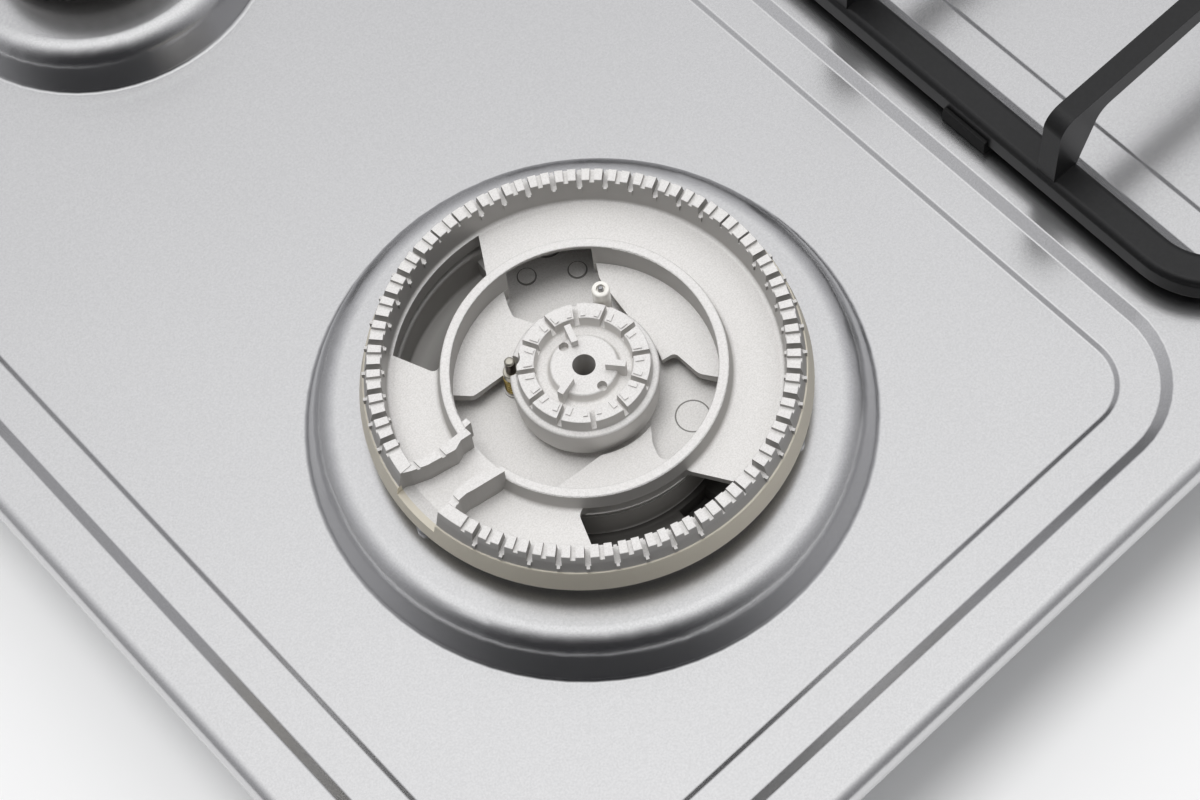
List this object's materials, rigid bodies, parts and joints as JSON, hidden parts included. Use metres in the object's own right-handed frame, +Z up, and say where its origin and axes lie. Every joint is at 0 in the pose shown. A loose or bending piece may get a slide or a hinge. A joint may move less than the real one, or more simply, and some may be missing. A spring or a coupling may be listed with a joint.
{
  "type": "gas hob",
  "caption": "Built-in gas hob: stainless plate with raised burner bosses, open dual-ring wok burner, capped burners, lift-off pan support, push-and-turn knobs and a tray below.",
  "frame": {"origin": "middle of the plate's outline, level with the bottom of the tray", "axes": "+X to the right along the front edge, +Y to the back, +Z up"},
  "size_m": [0.7, 0.51, 0.1004],
  "materials": {
    "stainless": "satin stainless sheet",
    "galvanised": "galvanised steel",
    "screw_steel": "plain steel",
    "cast_aluminium": "shot-blasted casting",
    "pipe_aluminium": "drawn tube",
    "enamel": "matt black enamel",
    "ceramic": "white glazed ceramic",
    "brass": "turned brass",
    "rubber": "black silicone rubber",
    "plastic": "moulded plastic"
  },
  "bodies": {
    "hob": {"top_plate": "stainless", "bottom_tray": "galvanised", "tray_posts": "galvanised", "tray_screws": "screw_steel", "worktop_seal": "rubber", "fixing_clamps": "galvanised", "clamp_screws": "screw_steel", "gas_rail": "galvanised", "gas_inlet": "galvanised", "tap_1": "brass", "tap_2": "brass", "tap_3": "brass", "tap_4": "brass", "knob_seals": "rubber", "feed_pipe_wok_outer": "pipe_aluminium", "feed_pipe_wok_inner": "pipe_aluminium", "feed_pipe_back_left": "pipe_aluminium", "feed_pipe_back_right": "pipe_aluminium", "feed_pipe_front_right": "pipe_aluminium", "injectors": "brass", "spark_generator": "plastic", "cup_screws": "screw_steel", "electrodes": "screw_steel", "wok_cup": "cast_aluminium", "wok_igniter": "ceramic", "wok_electrode": "screw_steel", "wok_thermocouple": "brass", "wok_thermocouple_spring": "screw_steel", "cup_back_left": "cast_aluminium", "cup_back_right": "cast_aluminium", "cup_front_right": "cast_aluminium", "igniter_back_left": "ceramic", "igniter_back_right": "ceramic", "igniter_front_right": "ceramic", "thermocouple_back_left": "brass", "thermocouple_back_right": "brass", "thermocouple_front_right": "brass"},
    "push_1": {"push_rod_1": "screw_steel"},
    "knob_1": {"knob_1": "plastic", "spindle_1": "screw_steel"},
    "push_2": {"push_rod_2": "screw_steel"},
    "knob_2": {"knob_2": "plastic", "spindle_2": "screw_steel"},
    "push_3": {"push_rod_3": "screw_steel"},
    "knob_3": {"knob_3": "plastic", "spindle_3": "screw_steel"},
    "push_4": {"push_rod_4": "screw_steel"},
    "knob_4": {"knob_4": "plastic", "spindle_4": "screw_steel"},
    "wok_spreader": {"wok_spreader": "cast_aluminium"},
    "wok_crown": {"wok_crown": "cast_aluminium"},
    "spreader_back_left": {"spreader_back_left": "cast_aluminium"},
    "cap_back_left": {"cap_back_left": "enamel"},
    "spreader_back_right": {"spreader_back_right": "cast_aluminium"},
    "cap_back_right": {"cap_back_right": "enamel"},
    "spreader_front_right": {"spreader_front_right": "cast_aluminium"},
    "cap_front_right": {"cap_front_right": "enamel"},
    "pan_support": {"pan_support": "enamel", "pan_support_feet": "rubber"}
  },
  "joints": [
    {"name": "knob_push_1", "type": "slide", "parent": "hob", "child": "push_1", "axis": [0, 0, -1], "range_m": [0, 0.003], "stiffness_N_per_m": 1500, "springref_m": -0.002},
    {"name": "knob_turn_1", "type": "hinge", "parent": "push_1", "child": "knob_1", "pos_m": [0.293, -0.145, 0.06], "axis": [0, 0, 1], "range_deg": [0, 225]},
    {"name": "knob_push_2", "type": "slide", "parent": "hob", "child": "push_2", "axis": [0, 0, -1], "range_m": [0, 0.003], "stiffness_N_per_m": 1500, "springref_m": -0.002},
    {"name": "knob_turn_2", "type": "hinge", "parent": "push_2", "child": "knob_2", "pos_m": [0.293, -0.075, 0.06], "axis": [0, 0, 1], "range_deg": [0, 225]},
    {"name": "knob_push_3", "type": "slide", "parent": "hob", "child": "push_3", "axis": [0, 0, -1], "range_m": [0, 0.003], "stiffness_N_per_m": 1500, "springref_m": -0.002},
    {"name": "knob_turn_3", "type": "hinge", "parent": "push_3", "child": "knob_3", "pos_m": [0.293, -0.005, 0.06], "axis": [0, 0, 1], "range_deg": [0, 225]},
    {"name": "knob_push_4", "type": "slide", "parent": "hob", "child": "push_4", "axis": [0, 0, -1], "range_m": [0, 0.003], "stiffness_N_per_m": 1500, "springref_m": -0.002},
    {"name": "knob_turn_4", "type": "hinge", "parent": "push_4", "child": "knob_4", "pos_m": [0.293, 0.065, 0.06], "axis": [0, 0, 1], "range_deg": [0, 225]},
    {"name": "wok_spreader_lift", "type": "slide", "parent": "hob", "child": "wok_spreader", "axis": [0, 0, 1], "range_m": [0, 0.06]},
    {"name": "wok_crown_lift", "type": "slide", "parent": "hob", "child": "wok_crown", "axis": [0, 0, 1], "range_m": [0, 0.06]},
    {"name": "spreader_back_left_lift", "type": "slide", "parent": "hob", "child": "spreader_back_left", "axis": [0, 0, 1], "range_m": [0, 0.05]},
    {"name": "cap_back_left_lift", "type": "slide", "parent": "spreader_back_left", "child": "cap_back_left", "axis": [0, 0, 1], "range_m": [0, 0.04]},
    {"name": "spreader_back_right_lift", "type": "slide", "parent": "hob", "child": "spreader_back_right", "axis": [0, 0, 1], "range_m": [0, 0.05]},
    {"name": "cap_back_right_lift", "type": "slide", "parent": "spreader_back_right", "child": "cap_back_right", "axis": [0, 0, 1], "range_m": [0, 0.04]},
    {"name": "spreader_front_right_lift", "type": "slide", "parent": "hob", "child": "spreader_front_right", "axis": [0, 0, 1], "range_m": [0, 0.05]},
    {"name": "cap_front_right_lift", "type": "slide", "parent": "spreader_front_right", "child": "cap_front_right", "axis": [0, 0, 1], "range_m": [0, 0.04]},
    {"name": "pan_support_lift", "type": "slide", "parent": "hob", "child": "pan_support", "axis": [0, 0, 1], "range_m": [0, 0.08]}
  ]
}
